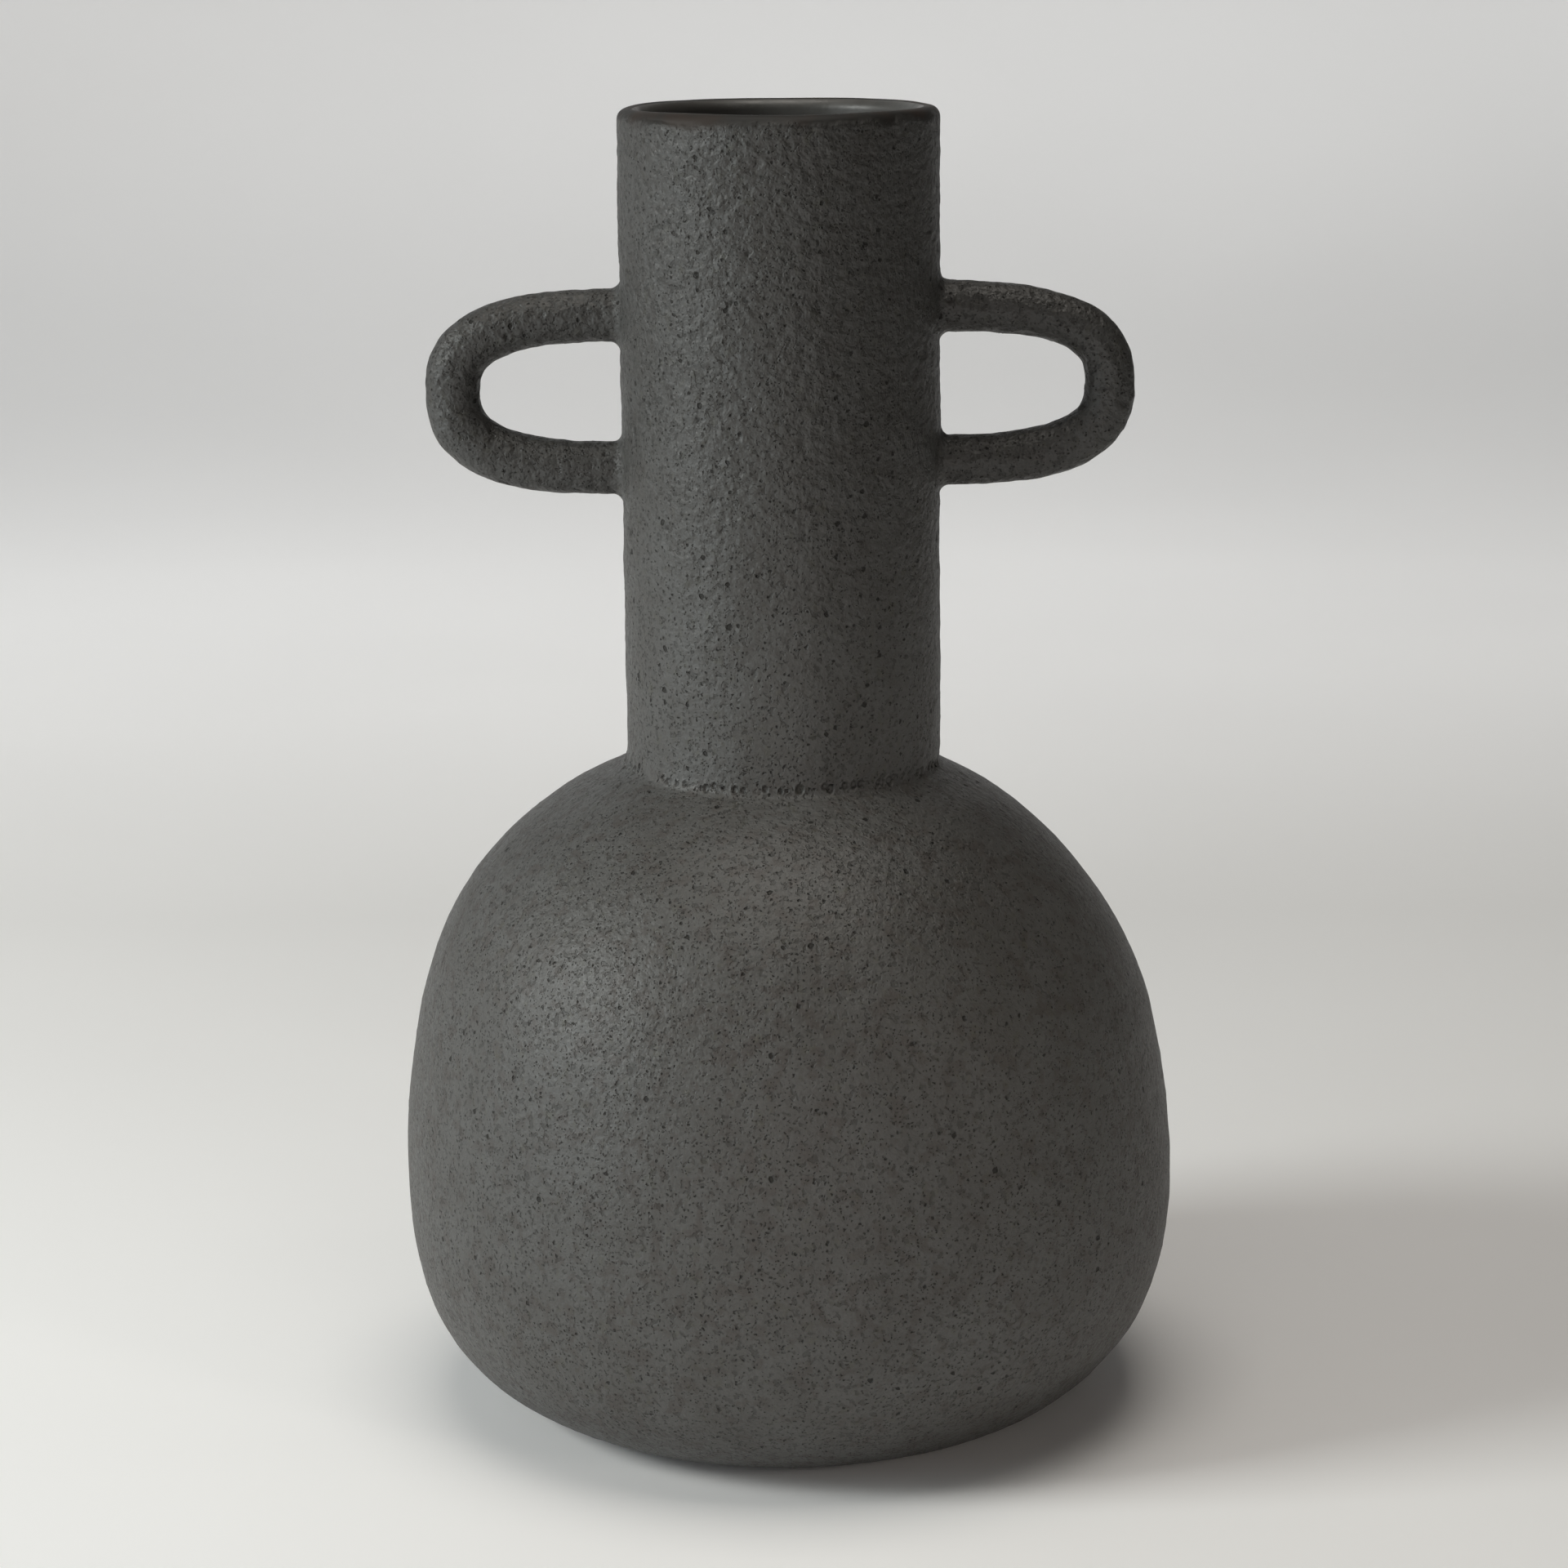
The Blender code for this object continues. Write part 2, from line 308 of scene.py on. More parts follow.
def woven_piece(name, stretches, materials, relief, closed=True):
    """Joins grids of points into one closed skin. Each stretch is (grid, relief strength, material)."""
    rows = []
    pit_rows = []
    slots = []
    for grid, strength, slot in stretches:
        pits = np.zeros(grid.shape[:2])
        if strength > 0:
            moved, deep = relief(grid.reshape(-1, 3))
            grid = grid + grid_normals(grid) * strength * moved.reshape(grid.shape[:2])[..., None]
            pits = deep.reshape(pits.shape) * strength
        rows.append(grid)
        pit_rows.append(pits)
        slots += [slot] * len(grid)
    points = np.concatenate(rows)
    row_count, columns = points.shape[:2]
    joined = row_count if closed else row_count - 1
    first = np.arange(joined)[:, None]
    second = (first + 1) % row_count
    here = np.arange(columns)[None, :]
    there = (here + 1) % columns
    corners = [(first, here), (first, there), (second, there), (second, here)]
    faces = np.stack([(row * columns + column).ravel() for row, column in corners], axis=1)
    face_slots = np.repeat(slots[:joined], columns)
    pits = np.concatenate(pit_rows).ravel()
    return new_piece(name, points.reshape(-1, 3), faces, materials, face_slots, pits)


def leaned(grid):
    """The bulb's lean from the wheel: its shoulder sits a little left of its foot, its belly right."""
    height = grid[..., 2] / BULB_TOP
    under_neck = 1 - rise(height, 0.955, 1.015)
    shoulder = -2.0 * MM * np.exp(-(((height - 0.87) / 0.19) ** 2)) * under_neck
    belly = 0.6 * MM * np.exp(-(((height - 0.30) / 0.14) ** 2))
    return grid + np.stack([shoulder + belly, 0 * height, 0 * height], axis=-1)


def spin(curve, columns):
    """A grid of points made by turning (radius, height) points round Z, counted from the front."""
    curve = np.asarray(curve, dtype=float)
    angle = np.linspace(0, 2 * math.pi, columns, endpoint=False)
    flat = [curve[:, :1] * np.sin(angle), -curve[:, :1] * np.cos(angle)]
    upright = np.broadcast_to(curve[:, 1:], flat[0].shape)
    return np.stack([*flat, upright], axis=2)


# ---------------------------------------------------------------- the vase's one outline

BULB_TOP = BULB_BOX[1].z
BULB_CURVE = smooth_outline(BULB_OUTLINE, 60) * np.array([BULB_BOX[1].x, BULB_TOP])
BORE = NECK_RADIUS - NECK_WALL


def seam_fillet():
    """The hollow arc from the shoulder up to the neck."""
    shoulder = BULB_CURVE[BULB_CURVE[:, 1] > 0.8 * BULB_TOP][::-1]
    lifted = shoulder + outline_normals(shoulder[::-1])[::-1] * SEAM_FILLET
    radius = NECK_RADIUS + SEAM_FILLET
    touch_radius, touch_height = (np.interp(radius, lifted[:, 0], shoulder[:, axis]) for axis in (0, 1))
    centre = (radius, np.interp(radius, lifted[:, 0], lifted[:, 1]))
    start = math.atan2(touch_height - centre[1], touch_radius - centre[0])
    return arc(centre, SEAM_FILLET, start, -math.pi, 24)


FILLET = seam_fillet()
SHOULDER_EDGE = FILLET[0, 1] - SEAM_SPREAD / 2
NECK_EDGE = FILLET[-1, 1] + SEAM_SPREAD
BULB_INSIDE = BULB_CURVE - outline_normals(BULB_CURVE) * BULB_WALL
MOUTH = np.interp(-BORE, -BULB_INSIDE[-300:, 0], BULB_INSIDE[-300:, 1]) + BULB_WALL / 2
SEAT = MOUTH - 0.5 * MM


def floor_slab(materials):
    """The flat floor: glazed round its edge, bare underneath, lined inside."""
    edge = respaced(between_heights(BULB_CURVE, 0.0, SEAM_HEIGHT), 1.0 * MM)
    under = respaced(np.array([[0.0, 0.0], edge[0]]), 1.6 * MM)[:-1]
    top = respaced(np.array([edge[-1], [0.0, SEAM_HEIGHT]]), 3.0 * MM)[1:]
    stretches = [
        (spin(under, BULB_COLUMNS), 0.0, BARE),
        (spin(edge, BULB_COLUMNS), 1.0, GLAZED),
        (spin(top, BULB_COLUMNS), 0.0, LINED),
    ]
    return woven_piece("vase_floor_slab", stretches, materials, foot_relief, closed=False)


def bulb_wall(materials):
    """The thrown bulb, from its seat on the floor to its mouth under the neck."""
    outer = respaced(between_heights(BULB_CURVE, SEAM_HEIGHT, SHOULDER_EDGE), 1.07 * MM)
    rising = BULB_INSIDE[(BULB_INSIDE[:, 1] > SEAM_HEIGHT) & (BULB_INSIDE[:, 0] > BORE)]
    inner = respaced(rising, 6.0 * MM)[::-1]
    mouth = [outer[-1] - [0.2 * MM, 0.5 * MM], [BORE, MOUTH]]
    foot = [[inner[-1, 0] - 0.5 * MM, SEAM_HEIGHT]]
    stretches = [
        (leaned(spin(outer, BULB_COLUMNS)), 1.0, GLAZED),
        (leaned(spin(mouth, BULB_COLUMNS)), 0.0, LINED),
        (leaned(spin(inner, BULB_COLUMNS)), 0.1, LINED),
        (leaned(spin(foot, BULB_COLUMNS)), 0.0, LINED),
    ]
    return woven_piece("vase_bulb_wall", stretches, materials, clay_relief)


def neck_seam_coil(materials):
    """The clay smoothed over the seam between shoulder and neck, with its row of burst bubbles."""
    shoulder = between_heights(BULB_CURVE, SHOULDER_EDGE, FILLET[0, 1])[:-1]
    neck = np.array([[NECK_RADIUS, NECK_EDGE]])
    outer = respaced(np.concatenate([shoulder, FILLET, neck]), 0.28 * MM)
    backing = [
        [NECK_RADIUS - 0.6 * MM, NECK_EDGE],
        [NECK_RADIUS - 0.6 * MM, FILLET[0, 1] - 0.6 * MM],
        [outer[0, 0] - 0.4 * MM, SHOULDER_EDGE - 0.7 * MM],
    ]
    stretches = [
        (leaned(spin(outer, SEAM_COLUMNS)), 1.0, GLAZED),
        (leaned(spin(backing, SEAM_COLUMNS)), 0.0, GLAZED),
    ]
    return woven_piece("vase_neck_seam_coil", stretches, materials, seam_relief)


def neck_cylinder(materials):
    """The straight neck with its half-round lip."""
    lip_height = HEIGHT - LIP_RADIUS
    outer = respaced(np.array([[NECK_RADIUS, NECK_EDGE], [NECK_RADIUS, lip_height]]), 0.70 * MM)[:-1]
    middle = (NECK_RADIUS - LIP_RADIUS, lip_height)
    lip = arc(middle, LIP_RADIUS, 0, LIP_GLAZE_END, 13)
    throat = arc(middle, LIP_RADIUS, LIP_GLAZE_END, math.pi, 10)[1:]
    inner = respaced(np.array([[BORE, lip_height], [BORE, SEAT]]), 4.0 * MM)[1:]
    inner = np.concatenate([throat, inner])
    foot = [[NECK_RADIUS - 0.8 * MM, SEAT], [NECK_RADIUS - 0.8 * MM, NECK_EDGE]]
    stretches = [
        (spin(np.concatenate([outer, lip]), NECK_COLUMNS), 1.0, GLAZED),
        (spin(inner, NECK_COLUMNS), 1.0, LINED),
        (spin(foot, NECK_COLUMNS), 0.0, LINED),
    ]
    return woven_piece("vase_neck_cylinder", stretches, materials, clay_relief)


# ---------------------------------------------------------------- handles


def turned_about_axis(points, angle):
    """Points turned round Z."""
    cosine, sine = math.cos(angle), math.sin(angle)
    x = points[..., 0] * cosine - points[..., 1] * sine
    y = points[..., 0] * sine + points[..., 1] * cosine
    return np.stack([x, y, points[..., 2]], axis=-1)


def handle_facts(side):
    """Centre height, half height, reach and coil radius of a handle, from its CAD node's box."""
    low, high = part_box(f"handle_{side}")
    upper_low, upper_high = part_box(f"handle_{side}_upper_luting")
    lower_low, lower_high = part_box(f"handle_{side}_lower_luting")
    top = (upper_low.z + upper_high.z) / 2
    bottom = (lower_low.z + lower_high.z) / 2
    radius = (high.z - low.z - (top - bottom)) / 2
    reach = max(abs(low.x), abs(high.x)) / math.cos(HANDLE_TURN) - radius - NECK_RADIUS
    return {"centre": (top + bottom) / 2, "half": (top - bottom) / 2, "radius": radius, "reach": reach}


def coil_line(facts, step):
    """Centre line of a handle in the XZ plane, from the upper root round to the lower root."""
    angle = np.linspace(math.pi / 2, -math.pi / 2, 1200)
    across = NECK_RADIUS + facts["reach"] * np.abs(np.cos(angle)) ** (2 / HANDLE_POWER)
    upward = np.sign(np.sin(angle)) * np.abs(np.sin(angle)) ** (2 / HANDLE_POWER)
    loop = np.stack([across, facts["centre"] + facts["half"] * upward], axis=1)
    root = [NECK_RADIUS - 1.5 * MM, 0.0]
    ends = [[root[0], loop[0, 1]], [root[0], loop[-1, 1]]]
    return respaced(np.concatenate([ends[:1], loop, ends[1:]]), step)


def handle(side, turn, materials):
    """A rolled coil bent to a loop, its thickness slightly uneven as rolled by hand."""
    facts = handle_facts(side)
    line = coil_line(facts, 0.45 * MM)
    along = np.gradient(line, axis=0)
    along /= np.linalg.norm(along, axis=1)[:, None]
    angle = np.linspace(0, 2 * math.pi, HANDLE_COLUMNS, endpoint=False)
    across = np.stack([-along[:, 1], np.zeros(len(line)), along[:, 0]], axis=1)
    centre = np.stack([line[:, 0], np.zeros(len(line)), line[:, 1]], axis=1)
    ring = across[:, None] * np.cos(angle)[None, :, None]
    ring = ring - np.array([0.0, 1.0, 0.0]) * np.sin(angle)[None, :, None]
    grid = turned_about_axis(centre[:, None] + ring * facts["radius"], turn)
    ends = turned_about_axis(np.repeat(centre[[0, -1]][:, None], HANDLE_COLUMNS, axis=1), turn)
    stretches = [(ends[:1], 0.0, GLAZED), (grid, 1.0, GLAZED), (ends[1:], 0.0, GLAZED)]
    return woven_piece(f"vase_handle_{side}", stretches, materials, clay_relief, closed=False)


def luting_collar(side, level, sign, turn, materials):
    """The clay smoothed from the end of a handle out over the neck."""
    facts = handle_facts(side)
    radius = facts["radius"]
    proud = 0.02 * MM
    quarter = np.linspace(0, math.pi / 2, 14)
    flare = radius + ROOT_FILLET * (1 - np.cos(quarter))
    stand_off = ROOT_FILLET * (1 - np.sin(quarter))
    spread = np.linspace(0, 1.6 * MM, 6)[1:]
    reach = np.concatenate([[radius] * 3, flare, flare[-1] + spread]) + proud
    sleeve = ROOT_FILLET + np.array([1.5, 1.0, 0.5]) * MM
    lift = np.concatenate([sleeve, stand_off, np.zeros(len(spread))]) + proud
    backing_reach = np.array([flare[-1] + spread[-1], radius - 1.0 * MM, radius - 1.0 * MM])
    backing_lift = np.array([-0.6 * MM, -1.0 * MM, ROOT_FILLET + 1.2 * MM])
    angle = np.linspace(0, 2 * math.pi, HANDLE_COLUMNS, endpoint=False)
    height = facts["centre"] + sign * facts["half"]

    def flared(reaches, lifts):
        sideways = reaches[:, None] * np.cos(angle)
        upward = reaches[:, None] * np.sin(angle)
        outward = np.sqrt(NECK_RADIUS**2 - sideways**2) + lifts[:, None]
        return turned_about_axis(np.stack([outward, sideways, height + upward], axis=2), turn)

    stretches = [
        (flared(reach, lift)[::-1], 1.0, GLAZED),
        (flared(backing_reach, backing_lift)[::-1], 0.0, GLAZED),
    ]
    return woven_piece(f"vase_handle_{side}_{level}_luting", stretches, materials, clay_relief)


# ---------------------------------------------------------------- materials


class Shading:
    """A material's node tree, with short calls for the nodes that the glazes are made of."""

    def __init__(self, name):
        self.material = bpy.data.materials.new(name)
        self.material.use_nodes = True
        self.tree = self.material.node_tree
        self.shader = self.tree.nodes["Principled BSDF"]
        self.place = self.add("ShaderNodeTexCoord").outputs["Object"]

    def add(self, kind, **settings):
        node = self.tree.nodes.new(kind)
        for key, value in settings.items():
            setattr(node, key, value)
        return node

    def feed(self, socket, value):
        if isinstance(value, bpy.types.NodeSocket):
            self.tree.links.new(value, socket)
        else:
            socket.default_value = value

    def math(self, operation, first, second=0.0, third=0.0):
        node = self.add("ShaderNodeMath", operation=operation)
        for socket, value in zip(node.inputs, (first, second, third)):
            self.feed(socket, value)
        return node.outputs["Value"]

    def product(self, first, second):
        return self.math("MULTIPLY", first, second)

    def largest(self, first, second):
        return self.math("MAXIMUM", first, second)

    def ramp(self, value, low, high, start=0.0, end=1.0):
        """start below low, end above high, and smooth between."""
        node = self.add("ShaderNodeMapRange", interpolation_type="SMOOTHSTEP")
        names = ("Value", "From Min", "From Max", "To Min", "To Max")
        for name, number in zip(names, (value, low, high, start, end)):
            self.feed(node.inputs[name], number)
        return node.outputs["Result"]

    def noise(self, size, detail=2.0, stretch=None, place=None):
        node = self.add("ShaderNodeTexNoise")
        place = place or self.place
        if stretch is not None:
            mapping = self.add("ShaderNodeMapping")
            self.feed(mapping.inputs["Vector"], place)
            mapping.inputs["Scale"].default_value = stretch
            place = mapping.outputs["Vector"]
        self.feed(node.inputs["Vector"], place)
        node.inputs["Scale"].default_value = 1 / size
        node.inputs["Detail"].default_value = detail
        return node.outputs["Fac"]

    def warped(self, size, amount):
        """Coordinates pushed about by noise, which makes round pits irregular."""
        push = self.add("ShaderNodeTexNoise")
        self.feed(push.inputs["Vector"], self.place)
        push.inputs["Scale"].default_value = 1 / size
        push.inputs["Detail"].default_value = 1.0
        moved = self.add("ShaderNodeVectorMath", operation="MULTIPLY_ADD")
        self.feed(moved.inputs[0], push.outputs["Color"])
        moved.inputs[1].default_value = (amount, amount, amount)
        self.feed(moved.inputs[2], self.place)
        return moved.outputs["Vector"]

    def pinholes(self, place, spacing, chance, radii, softness=0.35):
        """Pits scattered one to a cell, 1 at their middle; radii are shares of the spacing."""
        node = self.add("ShaderNodeTexVoronoi")
        self.feed(node.inputs["Vector"], place)
        node.inputs["Scale"].default_value = 1 / spacing
        split = self.add("ShaderNodeSeparateColor")
        self.feed(split.inputs["Color"], node.outputs["Color"])
        there = self.math("GREATER_THAN", chance, split.outputs["Red"])
        radius = self.ramp(split.outputs["Green"], 0.0, 1.0, radii[0], radii[1])
        radius = self.product(radius, there)
        inner = self.product(radius, softness)
        return self.ramp(node.outputs["Distance"], inner, self.math("ADD", radius, 0.0001), 1.0, 0.0)

    def blend(self, share, first, second, mode="MIX"):
        node = self.add("ShaderNodeMix", data_type="RGBA", blend_type=mode)
        for name, value in (("Factor_Float", share), ("A_Color", first), ("B_Color", second)):
            socket = next(item for item in node.inputs if item.identifier == name)
            self.feed(socket, value)
        return next(item for item in node.outputs if item.identifier == "Result_Color")

    def relief(self, height):
        """Bumps on the surface, their height given in millimetres."""
        node = self.add("ShaderNodeBump")
        node.inputs["Strength"].default_value = 1.0
        node.inputs["Distance"].default_value = MM
        self.feed(node.inputs["Height"], height)
        self.feed(self.shader.inputs["Normal"], node.outputs["Normal"])

    def distance_from_axis(self):
        flat = self.add("ShaderNodeVectorMath", operation="MULTIPLY")
        self.feed(flat.inputs[0], self.place)
        flat.inputs[1].default_value = (1.0, 1.0, 0.0)
        length = self.add("ShaderNodeVectorMath", operation="LENGTH")
        self.feed(length.inputs[0], flat.outputs["Vector"])
        return length.outputs["Value"]

    def coordinate(self, axis):
        split = self.add("ShaderNodeSeparateXYZ")
        self.feed(split.inputs["Vector"], self.place)
        return split.outputs[axis]


def gray(value):
    """An opaque grey."""
    return (value, value, value, 1.0)


def volcanic_glaze():
    """Matt charcoal glaze: pores, pits, brown and olive clouding, and a thin smooth brown lip, with
    painted shade in the pits, painted glints, and painted light and shade by height.
    """
    look = Shading("charcoal_glaze")
    height = look.coordinate("Z")

    # Where each kind of skin lies: the lip's edge wanders, and the handles are plainer than the neck
    wander = look.product(look.math("SUBTRACT", look.noise(7 * MM, 2.0), 0.5), 4.0 * MM)
    level = look.math("ADD", height, wander)
    lip = look.ramp(level, HEIGHT - 3.8 * MM, HEIGHT - 0.9 * MM)
    skin = look.ramp(level, HEIGHT - 2.6 * MM, HEIGHT - 1.0 * MM, 1.0, 0.0)
    upper_neck = look.ramp(height, *UPPER_NECK, 0.40, 1.0)
    on_bulb = look.ramp(height, 0.46 * HEIGHT, 0.56 * HEIGHT, 1.0, 0.0)
    beyond_neck = look.ramp(look.distance_from_axis(), 1.04 * NECK_RADIUS, 1.2 * NECK_RADIUS)
    on_handle = look.product(beyond_neck, look.math("SUBTRACT", 1.0, on_bulb))

    # Pores and pits of four sizes, the largest from the mesh itself, and hairline cracks; they shape
    # the bumps and are painted dark below as painted shade
    bent = look.warped(1.1 * MM, 1.0 * MM)
    crowd = look.ramp(look.noise(14 * MM, 1.0), 0.35, 0.65, 0.25, 0.65)
    crowd = look.math("MULTIPLY_ADD", on_bulb, 0.30, crowd)
    pores = look.pinholes(bent, 0.80 * MM, crowd, (0.16, 0.36), 0.7)
    small_chance = look.math("MULTIPLY_ADD", on_bulb, -0.14, 0.66)
    small = look.pinholes(bent, 1.4 * MM, small_chance, (0.09, 0.27), 0.5)
    medium_chance = look.math("MULTIPLY_ADD", look.largest(on_bulb, on_handle), -0.26, 0.40)
    medium = look.pinholes(bent, 3.0 * MM, medium_chance, (0.11, 0.26), 0.6)
    pit = look.add("ShaderNodeAttribute", attribute_name="pit").outputs["Fac"]
    burst = look.ramp(pit, 0.12, 0.75, 0.0, 0.8)
    burst = look.product(burst, look.math("MULTIPLY_ADD", on_handle, -0.6, 1.0))
    cracks = look.ramp(look.noise(1.3 * MM, 1.0, None, bent), 0.42, 0.33)
    shallow = look.largest(look.product(pores, 0.9), look.product(cracks, 0.4))
    deep = look.largest(look.largest(small, medium), burst)
    painted_hole_shade = look.product(look.largest(shallow, deep), skin)
    grain = look.noise(0.75 * MM, 2.0)

    # Colour: grey clouds, rust and olive blotches, fine speckle, painted light and shade by height,
    # darker handles, painted glints, holes painted dark as painted shade, brown lip
    cloud = look.ramp(look.noise(12 * MM, 3.0), 0.32, 0.68)
    color = look.blend(cloud, (0.0525, 0.0510, 0.0475, 1.0), (0.0615, 0.0610, 0.0580, 1.0))
    rust = look.ramp(look.noise(3.6 * MM, 2.0), 0.52, 0.64)
    rust = look.product(rust, look.math("MULTIPLY_ADD", on_bulb, 0.40, 0.20))
    color = look.blend(rust, color, (0.0400, 0.0340, 0.0300, 1.0))
    olive = look.ramp(look.noise(2.6 * MM, 1.0, (1.0, 1.3, 0.9)), 0.62, 0.74)
    color = look.blend(look.product(olive, 0.28), color, (0.0480, 0.0470, 0.0310, 1.0))
    # Painted light and shade: the colour is up to 20% lighter below half the height and 12% darker on
    # the upper neck, standing in for how the lamps fall; the handles are 12% darker besides
    painted_light_and_handle_tone = look.ramp(height, 0.50 * HEIGHT, 0.85 * HEIGHT, 1.20, 0.88)
    painted_light_and_handle_tone = look.product(painted_light_and_handle_tone, look.math("MULTIPLY_ADD", on_handle, -0.12, 1.0))
    speckle_and_painted_light = look.product(look.ramp(grain, 0.28, 0.72, 0.90, 1.12), painted_light_and_handle_tone)
    color = look.blend(1.0, color, speckle_and_painted_light, "MULTIPLY")
    # Painted glints: light flecks put into the colour, standing in for the sparkle of light off the
    # glaze's tiny facets
    painted_glint = look.ramp(look.noise(0.9 * MM, 1.0), 0.70, 0.78)
    color = look.blend(look.product(painted_glint, 0.3), color, (0.120, 0.118, 0.112, 1.0))
    # Painted shade: the pores, pits, cracks and the mesh's burst pits are darkened nearly to black,
    # standing in for the shadow inside them
    color = look.blend(look.product(painted_hole_shade, 0.80), color, (0.0085, 0.0076, 0.0058, 1.0))
    brown = look.ramp(look.noise(14 * MM, 2.0), 0.50, 0.66)
    lip_color = look.blend(brown, (0.020, 0.019, 0.0175, 1.0), (0.028, 0.021, 0.017, 1.0))
    look.feed(look.shader.inputs["Base Color"], look.blend(lip, color, lip_color))

    # Sheen and fine relief
    matt = look.ramp(grain, 0.3, 0.7, 0.45, 0.60)
    look.feed(look.shader.inputs["Roughness"], look.ramp(lip, 0.0, 1.0, matt, 0.60))
    sheen = look.ramp(look.largest(lip, painted_hole_shade), 0.0, 1.0, 0.5, 0.25)
    look.feed(look.shader.inputs["Specular IOR Level"], sheen)
    peel = look.product(look.noise(2.0 * MM, 2.0), upper_neck)
    bumps = look.product(peel, 0.85)
    bumps = look.math("MULTIPLY_ADD", grain, 0.11, bumps)
    bumps = look.math("MULTIPLY_ADD", look.largest(pores, cracks), -0.12, bumps)
    bumps = look.math("MULTIPLY_ADD", small, -0.36, bumps)
    bumps = look.math("MULTIPLY_ADD", medium, -0.50, bumps)
    look.relief(look.product(bumps, skin))
    return look.material


def liner_glaze():
    """Smoother, half-shiny glaze on the inside, with faint throwing rings."""
    look = Shading("liner_glaze")
    rings = look.noise(5 * MM, 2.0, (0.06, 0.06, 1.0))
    cloud = look.ramp(look.noise(16 * MM, 2.0), 0.3, 0.7)
    color = look.blend(cloud, (0.060, 0.058, 0.054, 1.0), (0.078, 0.076, 0.072, 1.0))
    specks = look.pinholes(look.place, 1.9 * MM, 0.25, (0.06, 0.18))
    color = look.blend(look.product(specks, 0.6), color, (0.014, 0.012, 0.010, 1.0))
    look.feed(look.shader.inputs["Base Color"], color)
    look.feed(look.shader.inputs["Roughness"], look.ramp(look.noise(4 * MM, 2.0), 0.3, 0.7, 0.36, 0.50))
    look.relief(look.math("MULTIPLY_ADD", look.noise(1.6 * MM, 2.0), 0.05, look.product(rings, 0.2)))
    return look.material


def bare_clay():
    """Unglazed fired stoneware under the foot: dry, sandy and warm grey."""
    look = Shading("dry_clay")
    cloud = look.ramp(look.noise(9 * MM, 3.0), 0.3, 0.7)
    color = look.blend(cloud, (0.120, 0.098, 0.080, 1.0), (0.175, 0.148, 0.122, 1.0))
    sand = look.ramp(look.noise(0.5 * MM, 2.0), 0.3, 0.7, 0.75, 1.25)
    color = look.blend(1.0, color, sand, "MULTIPLY")
    grog = look.pinholes(look.warped(0.9 * MM, 0.5 * MM), 1.7 * MM, 0.4, (0.10, 0.28))
    color = look.blend(look.product(grog, 0.7), color, (0.045, 0.035, 0.028, 1.0))
    look.feed(look.shader.inputs["Base Color"], color)
    look.feed(look.shader.inputs["Roughness"], look.ramp(look.noise(2 * MM, 2.0), 0.3, 0.7, 0.82, 0.95))
    look.relief(look.math("MULTIPLY_ADD", grog, -0.12, look.product(look.noise(0.7 * MM, 3.0), 0.16)))
    return look.material


# ---------------------------------------------------------------- studio


def sweep_material():
    """Pale paper under and behind the vase, fading to grey walls at the sides and in front."""
    look = Shading("studio_paper")
    paper = look.ramp(look.noise(0.4, 2.0), 0.3, 0.7, 0.92, 0.95)
    color = look.blend(1.0, gray(1.0), paper, "MULTIPLY")
    in_front = look.ramp(look.coordinate("Y"), 0.9, 1.9, 1.0, 0.0)
    aside = look.ramp(look.math("ABSOLUTE", look.coordinate("X")), 0.75, 1.2)
    walls = look.product(look.ramp(look.distance_from_axis(), 1.1, 1.9), look.largest(in_front, aside))
    look.feed(look.shader.inputs["Base Color"], look.blend(walls, color, gray(0.10)))
    look.shader.inputs["Roughness"].default_value = 0.9
    return look.material


def studio_sweep():
    """A pale round floor that curves up into a wall on every side."""
    floor_radius, bend, top = 1.1, 1.5, 2.6
    floor = np.array([[0.0, 0.0], [0.5 * floor_radius, 0.0]])
    wall = np.array([[floor_radius + bend, top]])
    grid = spin(np.concatenate([floor, arc((floor_radius, bend), bend, -math.pi / 2, 0, 25), wall]), 96)
    rows, columns = grid.shape[:2]
    first = np.arange(rows - 1)[:, None]
    here = np.arange(columns)[None, :]
    there = (here + 1) % columns
    corners = [(first, here), (first + 1, here), (first + 1, there), (first, there)]
    faces = np.stack([(row * columns + column).ravel() for row, column in corners], axis=1)
    mesh = bpy.data.meshes.new("studio_sweep")
    mesh.from_pydata(grid.reshape(-1, 3).tolist(), [], faces.tolist())
    mesh.materials.append(sweep_material())
    mesh.shade_smooth()
    sweep = bpy.data.objects.new("studio_sweep", mesh)
    bpy.context.scene.collection.objects.link(sweep)


def soft_light(name, azimuth, elevation, distance, size, target, power, color, spread=180.0):
    """A square softbox aimed at the target; azimuth runs from the camera's side to the left.

    Angles are in degrees, sizes and distances in metres, the power in watts.
    """
    turn, lift = math.radians(azimuth), math.radians(elevation)
    level = math.cos(lift)
    toward = Vector((-math.sin(turn) * level, -math.cos(turn) * level, math.sin(lift)))
    data = bpy.data.lights.new(name, "AREA")
    data.size = size
    data.energy = power
    data.color = color
    data.spread = math.radians(spread)
    lamp = bpy.data.objects.new(name, data)
    lamp.location = Vector(target) + toward * distance
    lamp.rotation_euler = toward.to_track_quat("Z", "Y").to_euler()
    bpy.context.scene.collection.objects.link(lamp)


def photo_camera():
    """A long lens a little above the vase, looking down on it, with a slight roll."""
    down, roll = 12.93, -0.52
    data = bpy.data.cameras.new("camera")
    data.sensor_width = 36.0
    data.lens = 91.7
    data.clip_start = 0.05
    camera = bpy.data.objects.new("camera", data)
    camera.location = (0.0, -3.0 * HEIGHT, 1.1728 * HEIGHT)
    tilted = Matrix.Rotation(math.radians(90.0 - down), 4, "X")
    camera.rotation_euler = (tilted @ Matrix.Rotation(math.radians(roll), 4, "Z")).to_euler()
    bpy.context.scene.collection.objects.link(camera)
    bpy.context.scene.camera = camera


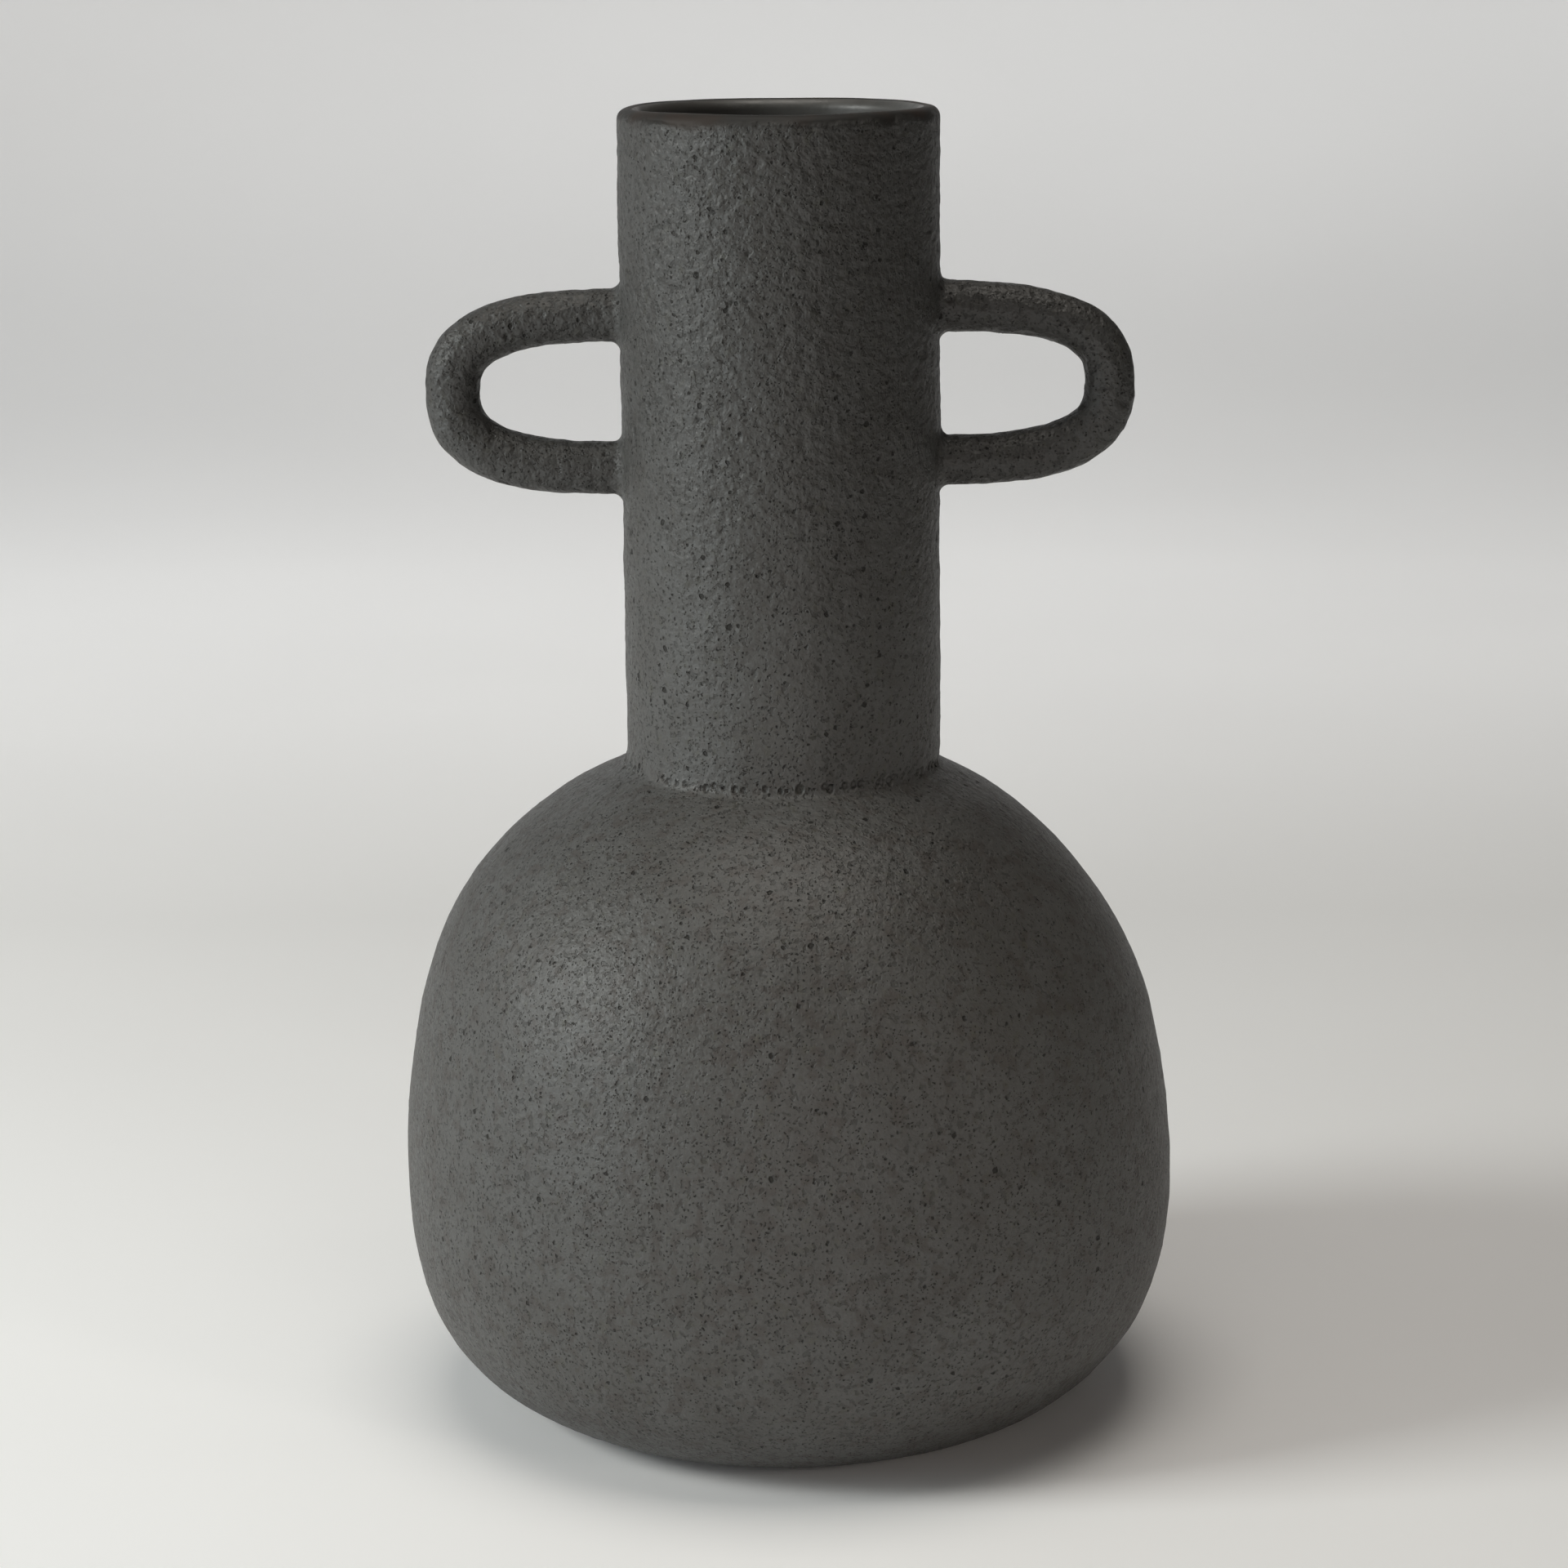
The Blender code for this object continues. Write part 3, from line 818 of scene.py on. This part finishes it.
def dark_room():
    """No light but the lamps' and what the paper throws back."""
    world = bpy.data.worlds.new("studio_room")
    world.use_nodes = True
    world.node_tree.nodes["Background"].inputs["Strength"].default_value = 0.0
    bpy.context.scene.world = world


def studio_lights():
    """A window on the left, a bright ceiling, small fills in front, and a wash on the backdrop."""
    middle, belly = (0.0, 0.0, 0.15), (0.0, 0.0, 0.08)
    belly_front, backdrop = (0.045, -0.07, 0.075), (0.0, 2.2, 1.1)
    soft_light("window_key", 72, 27, 1.6, 0.5, middle, 14.2, (0.97, 1.0, 0.97))
    soft_light("window_low", 65, 10, 0.8, 0.4, belly, 1.2, (0.84, 0.95, 1.0))
    soft_light("window_side", 110, 8, 1.6, 1.0, middle, 2.1, (1.0, 0.97, 0.95))
    soft_light("window_back", 145, 25, 1.6, 1.0, middle, 0.9, (0.85, 0.93, 1.0))
    soft_light("ceiling", 0, 85, 1.6, 1.0, middle, 12.4, (1.0, 0.95, 0.88))
    soft_light("front_fill", 0, 4, 0.6, 0.35, belly, 0.4, (1.0, 0.88, 0.83))
    soft_light("belly_fill", -49, 20, 0.7, 0.2, belly_front, 0.012, (1.0, 0.92, 0.82), 16.0)
    soft_light("backdrop_wash", 0, 12, 1.5, 1.5, backdrop, 14.0, (1.0, 1.0, 1.0))


# ---------------------------------------------------------------- making it


def make_vase():
    """Every clay piece, riding on the vase's one body in place of its CAD node."""
    materials = [volcanic_glaze(), liner_glaze(), bare_clay()]
    made = {
        "floor_slab": floor_slab(materials),
        "bulb_wall": bulb_wall(materials),
        "neck_seam_coil": neck_seam_coil(materials),
        "neck_cylinder": neck_cylinder(materials),
    }
    for side, turn in (("left", math.pi + HANDLE_TURN), ("right", HANDLE_TURN)):
        made[f"handle_{side}"] = handle(side, turn, materials)
        for level, sign in (("upper", 1), ("lower", -1)):
            made[f"handle_{side}_{level}_luting"] = luting_collar(side, level, sign, turn, materials)
    for node, piece in made.items():
        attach(piece, "root")
        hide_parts(node)


make_vase()
studio_sweep()
photo_camera()
studio_lights()
dark_room()
bpy.context.scene.view_settings.view_transform = "Standard"
